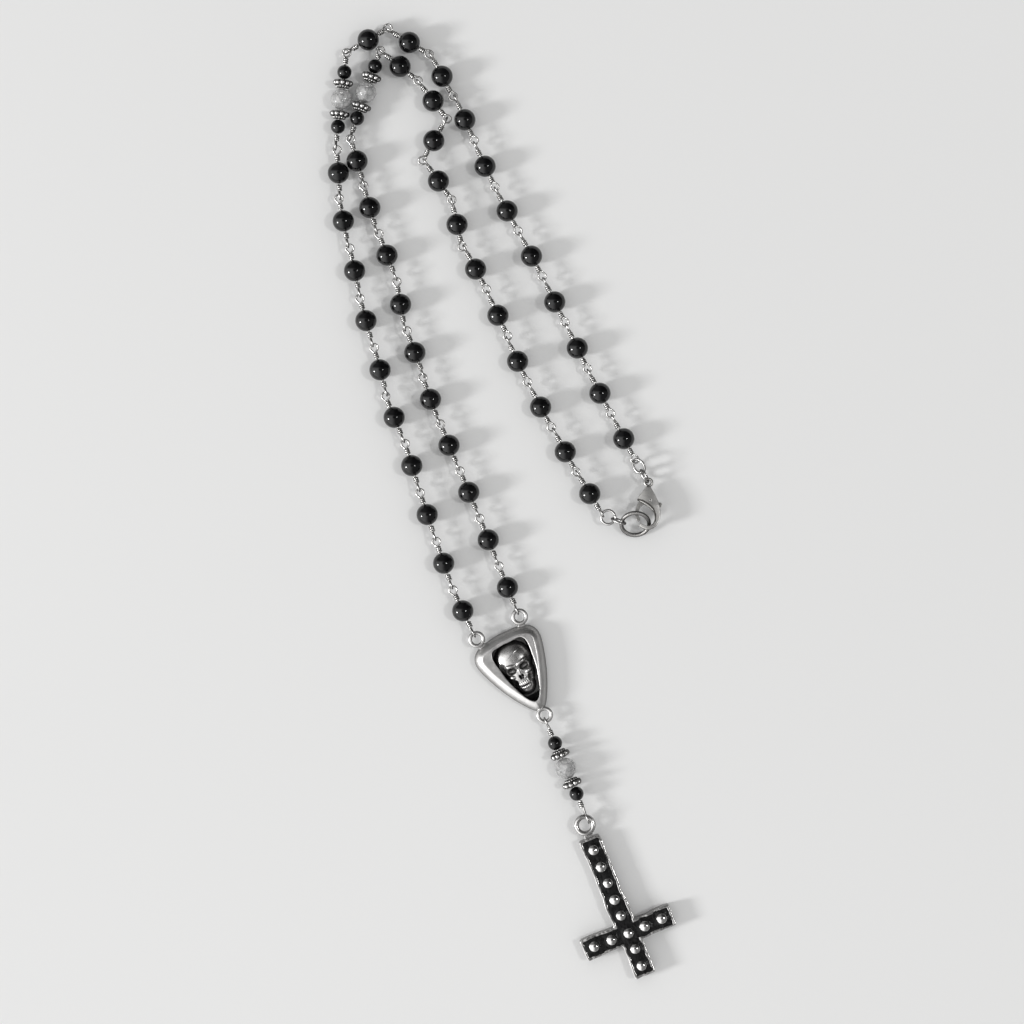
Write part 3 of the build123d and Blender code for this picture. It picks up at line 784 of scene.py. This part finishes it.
def add_bezel():
    mesh, points = from_cad("centrepiece_frame", 0.115, 9, centre_frame, "bezel")
    mm = points * 1000
    # the window walls darken downwards
    patina = np.where(inside(window_outline(-0.18), mm[:, 0], mm[:, 1]),
                      np.clip((4.15 - mm[:, 2]) / 0.5, 0, 1), 0.0)
    # faint dents and waves of a hand-finished casting, 0.06 mm high
    for i, (x, y, z) in enumerate(mm):
        if z > 0.4:
            points[i, 2] += 0.00006 * noise.noise(Vector((x * 0.35, y * 0.35, z * 0.3)))
    store(mesh, points, m_bezel)
    set_patina(mesh, patina)
    place("centrepiece_bezel", mesh, centre_frame, "centrepiece", "centrepiece_frame")


add_bezel()

# ---- skull relief -----------------------------------------------------------
ANY = -math.inf
# Main masses: (height, blend, centre x, y, radius x, y, power); the first is the cranium
SKULL_MASSES = [(3.45, None, -0.35, -9.75, 5.35, 5.15, 2.5),
                (2.75, 0.5, -0.25, -14.1, 4.05, 3.8, 2.4),
                (2.45, 0.4, -0.45, -17.5, 2.75, 2.95, 2.5)]
# Features: (height, exponent, only where the relief is above, centre x, y, radius x, y, turn)
SKULL_FEATURES = [
    (0.62, 0.8, 0.2, -3.35, -14.15, 1.35, 0.75, -18),    # cheekbones
    (0.62, 0.8, 0.2, 2.45, -14.15, 1.35, 0.75, 18),
    (0.50, 0.8, 0.2, -2.35, -11.15, 1.95, 0.62, -13),    # brow ridges
    (0.50, 0.8, 0.2, 1.5, -11.15, 1.95, 0.62, 13),
    (-1.65, 0.55, ANY, -2.25, -12.55, 1.38, 0.98, -10),  # eye sockets
    (-1.65, 0.55, ANY, 1.45, -12.55, 1.38, 0.98, 10),
    (-1.05, 0.6, ANY, -0.79, -15.05, 0.40, 0.72, 12),    # nasal opening
    (-1.05, 0.6, ANY, -0.11, -15.05, 0.40, 0.72, -12),
    (0.30, 1, 0.2, -0.42, -13.55, 0.34, 0.95, 0),        # nasal bone
    (-0.55, 1, ANY, -4.1, -10.9, 1.0, 1.7, 0),           # temples
    (-0.55, 1, ANY, 3.7, -10.9, 1.0, 1.7, 0),
    (-0.85, 0.8, ANY, -2.75, -16.15, 0.72, 1.05, 0),     # hollows below the cheekbones
    (-0.85, 0.8, ANY, 1.75, -16.15, 0.72, 1.05, 0),
]
# two rows of teeth: (y, tooth pitch, radius y)
for row_y, pitch, tooth in ((-17.0, 0.56, 0.62), (-18.25, 0.50, 0.52)):
    for step in np.arange(-2.5, 3):
        SKULL_FEATURES.append((0.26, 0.45, 0.3, -0.55 + step * pitch, row_y + 0.03 * step ** 2,
                               pitch * 0.52, tooth, 0))
SKULL_FEATURES += [(-0.42, 0.6, ANY, -0.55, -17.66, 1.9, 0.13, 0),   # line between the rows
                   (-0.10, 0.6, ANY, 0.3, -8.3, 2.6, 0.07, 20)]      # skull suture


def smooth_max(a, b, blend):
    share = np.clip(0.5 + 0.5 * (a - b) / blend, 0, 1)
    return b + (a - b) * share + blend * share * (1 - share)


def average(field, centre_weight):
    """Each cell averaged with its four neighbours."""
    pad = np.pad(field, 1, mode="edge")
    return (pad[1:-1, 1:-1] * centre_weight + pad[:-2, 1:-1] + pad[2:, 1:-1]
            + pad[1:-1, :-2] + pad[1:-1, 2:]) / (4 + centre_weight)


def skull_heights(grid_x, grid_y):
    def dome(cx, cy, rx, ry, turn=0, power=2.0):
        angle = math.radians(turn)
        dx, dy = grid_x - cx, grid_y - cy
        u = (dx * math.cos(angle) + dy * math.sin(angle)) / rx
        v = (-dx * math.sin(angle) + dy * math.cos(angle)) / ry
        return np.clip(1 - (u * u + v * v) ** (power / 2), 0, None)

    heights = None
    for height, blend, *oval, power in SKULL_MASSES:
        mass = height * np.sqrt(dome(*oval, power=power))
        heights = mass if blend is None else smooth_max(heights, mass, blend)
    for height, exponent, above, *oval in SKULL_FEATURES:
        heights += height * dome(*oval) ** exponent * (heights > above)
    heights = np.clip(heights, 0, None)
    for _ in range(2):
        heights = average(heights, 4)
    return heights


def add_skull():
    grid_x, grid_y = np.meshgrid(np.arange(-5.4, 5.01, 0.075), np.arange(-20.9, -4.9, 0.075))
    heights = skull_heights(grid_x, grid_y)
    blurred = heights
    for _ in range(26):
        blurred = average(blurred, 0)
    hollow = np.clip((blurred - heights - 0.03) / 0.22, 0, 1)
    low = np.clip((0.5 - heights) / 0.4, 0, 1)
    in_window = inside(window_outline(0.10), grid_x.ravel(), grid_y.ravel())
    keep = (heights > 0.03) & in_window.reshape(grid_x.shape)
    index = -np.ones(heights.shape, int)
    index[keep] = np.arange(keep.sum())
    verts = np.column_stack((grid_x[keep], grid_y[keep], CENTRE_FLOOR + heights[keep])) * MM
    faces = []
    for r in range(heights.shape[0] - 1):
        for c in range(heights.shape[1] - 1):
            quad = (index[r, c], index[r, c + 1], index[r + 1, c + 1], index[r + 1, c])
            if min(quad) >= 0:
                faces.append(quad)
    mesh = bpy.data.meshes.new("skull_relief")
    mesh.from_pydata(verts.tolist(), [], faces)
    set_patina(mesh, np.maximum(hollow, low)[keep])
    # the rim is drawn down just below the window's floor
    bm = bmesh.new()
    bm.from_mesh(mesh)
    bmesh.ops.delete(bm, geom=[v for v in bm.verts if not v.link_faces], context="VERTS")
    rim = bmesh.ops.extrude_edge_only(bm, edges=[e for e in bm.edges if e.is_boundary])
    for item in rim["geom"]:
        if isinstance(item, bmesh.types.BMVert):
            item.co.z = (CENTRE_FLOOR - 0.05) * MM
    bm.to_mesh(mesh)
    bm.free()
    mesh.polygons.foreach_set("use_smooth", [True] * len(mesh.polygons))
    mesh.materials.append(m_skull)
    mesh.update()
    place("centrepiece_skull_relief", mesh, centre_frame, "centrepiece", "centrepiece_skull")


add_skull()

# ---- cross ------------------------------------------------------------------
CROSS_AT, CROSS_TURN = (31.280, -74.090), 22.7
STUD_R, STUD_H, STUD_Z = 1.65, 1.15, 3.06
# stud centres (x, y) on the cross before it is made uneven
STUDS = [(0, 25.0), (0, 20.0), (0, 15.1), (0, 10.1), (0, 5.1), (0, 0), (0, -5.0),
         (0, -10.0), (-10.1, 0), (-5.1, 0), (5.1, 0), (10.1, 0)]
cross_frame = shift(*CROSS_AT, 0) @ rotate(CROSS_TURN, "Z")


def warp_cross(x, y):
    """Uneven outline of a hand-poured cross. The bail, beyond y = 29, stays where it is."""
    fade = min(1.0, max(0.0, (29.0 - y) / 2.5))
    slow = Vector((x * 0.17, y * 0.17, 3.7))
    quick = Vector((x * 0.55, y * 0.55, 9.1))
    dx = 0.34 * noise.noise(slow) + 0.13 * noise.noise(quick)
    dy = (0.34 * noise.noise(slow + Vector((31, 7, 2)))
          + 0.13 * noise.noise(quick + Vector((5, 17, 2))))
    return x + dx * fade, y + dy * fade


def waves(x, y, *layers):
    """Sum of noise layers, each (height, scale, seed)."""
    return sum(height * noise.noise(Vector((x * scale, y * scale, seed)))
               for height, scale, seed in layers)


stud_places = [warp_cross(x, y) for x, y in STUDS]


def add_cross_body():
    mesh, points = from_cad("cross_body", 0.125, 10, cross_frame, "cast_cross")
    for i, (x, y, z) in enumerate(points * 1000):
        rise = 0.0
        if z > 0.6 and y < 28.5:
            rise = waves(x, y, (0.10, 0.4, 1.7), (0.05, 1.1, 5.7)) * min(1.0, (z - 0.6) / 1.5)
        warped_x, warped_y = warp_cross(x, y)
        points[i] = (warped_x * MM, warped_y * MM, (z + rise) * MM)
    store(mesh, points, m_cross)
    place("cross_cast_body", mesh, cross_frame, "cross", "cross_body")


def add_cross_enamel():
    mesh, points = from_cad("cross_enamel", 0.13, 3, cross_frame, "enamel_fill")
    # spread sideways so that the enamel reaches the silver wall on every side
    points[:, :2] += read_vectors(mesh, "normal")[:, :2] * 0.42 * MM
    for i, (x, y, z) in enumerate(points * 1000):
        warped_x, warped_y = warp_cross(x, y)
        rise = 0.0
        if z > 2.7:
            rise = waves(x, y, (0.09, 0.8, 0.3), (0.04, 2.3, 4.4))
            # the surface creeps up round each stud
            gap = min((warped_x - sx) ** 2 + (warped_y - sy) ** 2 for sx, sy in stud_places) ** 0.5
            rise += 0.16 * math.exp(-max(0.0, gap - STUD_R) / 0.35) * (gap < 3)
            rise += 0.36
        points[i] = (warped_x * MM, warped_y * MM, (z + rise) * MM)
    store(mesh, points, m_enamel)
    place("cross_enamel_fill", mesh, cross_frame, "cross", "cross_enamel")


def add_studs():
    # short shank, then a dome in 18 steps
    profile = [(-0.55, 0.0001), (-0.55, STUD_R * 0.9), (-0.1, STUD_R * 0.97), (0.02, STUD_R)]
    for k in range(1, 18):
        angle = math.pi / 2 * k / 18
        profile.append((0.03 + (STUD_H - 0.03) * math.sin(angle) ** 1.05,
                        STUD_R * math.cos(angle) ** 0.92))
    profile.append((STUD_H, 0.0001))
    rnd = random.Random(5)
    for i, (x, y) in enumerate(stud_places):
        mesh = Build().add(*lathe_x(profile, 48, False, 0.035, 2.3 * i)).mesh(
            "stud_head_%02d" % (i + 1), m_stud)
        size = rnd.uniform(0.94, 1.0)
        tilt = rotate(rnd.uniform(-3, 3), "X") @ rotate(rnd.uniform(-3, 3), "Y")
        matrix = cross_frame @ shift(x, y, STUD_Z) @ tilt @ X_TO_Z @ Matrix.Scale(size, 4)
        place("cross_stud_%02d" % (i + 1), mesh, matrix, "cross", "cross_studs")


add_cross_body()
add_cross_enamel()
add_studs()

# ---- clasp ------------------------------------------------------------------
CLASP_AT, CLASP_PITCH, CLASP_HEADING, CLASP_T = (36.960, 51.968, 2.60), 7.5, -1.5, 2.3
LEVER_PIVOT = (0.55, -5.15)
# (x, y) along the seam between shell and gate and round the mouth of the hook
CLASP_SEAM = [(-3.0, -5.0), (-1.6, -5.3), (0.2, -6.3), (1.5, -7.6), (2.1, -9.2),
              (2.0, -10.9), (1.1, -12.0)]
clasp_frame = (Matrix.Translation(Vector(CLASP_AT) * MM) @ rotate(CLASP_HEADING, "Z")
               @ rotate(-CLASP_PITCH, "X"))


def seam_distance(x, y):
    distance = np.full(len(x), 9.0)
    for (ax, ay), (bx, by) in zip(CLASP_SEAM[:-1], CLASP_SEAM[1:]):
        dx, dy = bx - ax, by - ay
        part = np.clip(((x - ax) * dx + (y - ay) * dy) / (dx * dx + dy * dy), 0, 1)
        distance = np.minimum(distance, np.hypot(x - ax - dx * part, y - ay - dy * part))
    return distance


def add_clasp_part(node, voxel, relax, body, name, oxide, crowned):
    mesh, points = from_cad(node, voxel, relax, clasp_frame, name)
    x, y = points[:, 0] * 1000, points[:, 1] * 1000
    if crowned:
        # thinned towards the outline, fullest in the middle of the shell
        side = np.clip(np.abs(x - (0.2 - 0.12 * (y + 4.0))) / 3.4, 0, 1)
        points[:, 2] *= np.where(y < -1.4, 1.12 - 0.34 * side ** 2, 1.0)
    store(mesh, points, m_clasp)
    # oxide sits in the seam
    set_patina(mesh, np.clip((0.34 - seam_distance(x, y)) / 0.2, 0, 1) * oxide)
    place(name, mesh, clasp_frame, body, node)


def add_rivet():
    """Pin through the clasp with a domed head on each face."""
    build = Build()
    face, head = CLASP_T / 2, 0.46
    for sign in (-1, 1):
        profile = [(sign * 0.9, 0.0001), (sign * 0.9, 0.32), (sign * face, 0.34),
                   (sign * (face + 0.02), head)]
        for k in range(1, 8):
            angle = math.pi / 2 * k / 7
            profile.append((sign * (face + 0.02 + 0.13 * math.sin(angle)),
                            head * math.cos(angle) + 0.0001))
        build.add(*lathe_x(profile, 28, False))
    pin = [(-0.92, 0.0001), (-0.92, 0.31), (0.92, 0.31), (0.92, 0.0001)]
    build.add(*lathe_x(pin, 24, False))
    place("clasp_rivet", build.mesh("rivet", m_clasp),
          clasp_frame @ shift(*LEVER_PIVOT, 0) @ X_TO_Z, "clasp", "clasp_pin")


add_clasp_part("clasp_body", 0.075, 9, "clasp", "clasp_hook_body", oxide=0.95, crowned=True)
add_clasp_part("clasp_lever", 0.05, 6, "clasp_lever", "clasp_gate_lever", oxide=0.5,
               crowned=False)
add_rivet()
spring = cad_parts["clasp_spring"]
spring.data.materials.clear()
spring.data.materials.append(m_spring)


# ---- floor, light, camera (all in metres) -----------------------------------
def add_floor(half=2, z=-0.00002):
    mat = new_material("plain_floor")
    cloud = mat.noise(mat.coords((MM, MM, MM), vary=False), scale=2.5, detail=2, rough=0.4)
    mat.set({"Base Color": mat.mix(mat.remap(cloud, span=(0.3, 0.7)),
                                   (0.80, 0.80, 0.795), (0.825, 0.825, 0.82)),
             "Roughness": 0.55, "Specular IOR Level": 0.25})
    mesh = bpy.data.meshes.new("floor")
    mesh.from_pydata([(-half, -half, z), (half, -half, z), (half, half, z), (-half, half, z)],
                     [], [(0, 1, 2, 3)])
    mesh.materials.append(mat.owner)
    floor = bpy.data.objects.new("floor", mesh)
    scene.collection.objects.link(floor)


def add_area(name, zenith, azimuth, distance, size, power):
    """Area light aimed at the middle of the necklace. Angles in degrees, azimuth from +X."""
    light = bpy.data.lights.new(name, "AREA")
    light.shape = "RECTANGLE"
    light.size, light.size_y = size
    light.energy = power
    polar, turn = math.radians(zenith), math.radians(azimuth)
    outward = Vector((math.sin(polar) * math.cos(turn), math.sin(polar) * math.sin(turn),
                      math.cos(polar)))
    ob = bpy.data.objects.new(name, light)
    ob.location = Vector((0.0, 0.04, 0.0)) + outward * distance
    ob.rotation_euler = outward.to_track_quat("Z", "Y").to_euler()
    scene.collection.objects.link(ob)


def add_world():
    """An even soft surround lights the floor. What the metal mirrors is bright towards -X,
    darker towards +Y and dark overhead, round the camera."""
    world = bpy.data.worlds.new("studio")
    scene.world = world
    sky = Nodes(world, "Background")
    direction = sky.new("ShaderNodeTexCoord").outputs["Generated"]
    x, y, z = sky.feed(sky.new("ShaderNodeSeparateXYZ"), {0: direction}).outputs

    def fade(value, span, to):
        return sky.remap(value, span, to, interpolation_type="SMOOTHSTEP")

    mirrored = fade(x, span=(-0.55, 0.30), to=(1.75, 0.20))
    mirrored = sky.math("MULTIPLY", mirrored, fade(y, span=(0.05, 0.50), to=(1.0, 0.12)))
    mirrored = sky.math("MULTIPLY", mirrored, fade(z, span=(0.950, 0.992), to=(1.0, 0.18)))
    glossy = sky.new("ShaderNodeLightPath").outputs["Is Glossy Ray"]
    even = 0.58
    level = sky.feed(sky.new("ShaderNodeMix", data_type="FLOAT"),
                     {0: glossy, 2: even, 3: mirrored}).outputs[0]
    grey = sky.feed(sky.new("ShaderNodeCombineColor"), {0: level, 1: level, 2: level})
    sky.set({"Color": grey.outputs[0], "Strength": 1.0})


def add_camera():
    camera = bpy.data.cameras.new("camera")
    camera.lens, camera.sensor_width = 100, 36
    camera.clip_start, camera.clip_end = 0.01, 10
    ob = bpy.data.objects.new("camera", camera)
    ob.location = (-1.26 * MM, 43.68 * MM, 0.7994)
    scene.collection.objects.link(ob)
    scene.camera = ob


add_floor()
add_area("window_left", zenith=66, azimuth=196, distance=2.4, size=(0.38, 0.48), power=34.0)
add_area("lamp_right", zenith=32, azimuth=0, distance=2.2, size=(0.18, 0.20), power=7.0)
add_world()
add_camera()
scene.view_settings.view_transform = "Standard"
scene.view_settings.look = "None"
scene.view_settings.exposure = 0.0
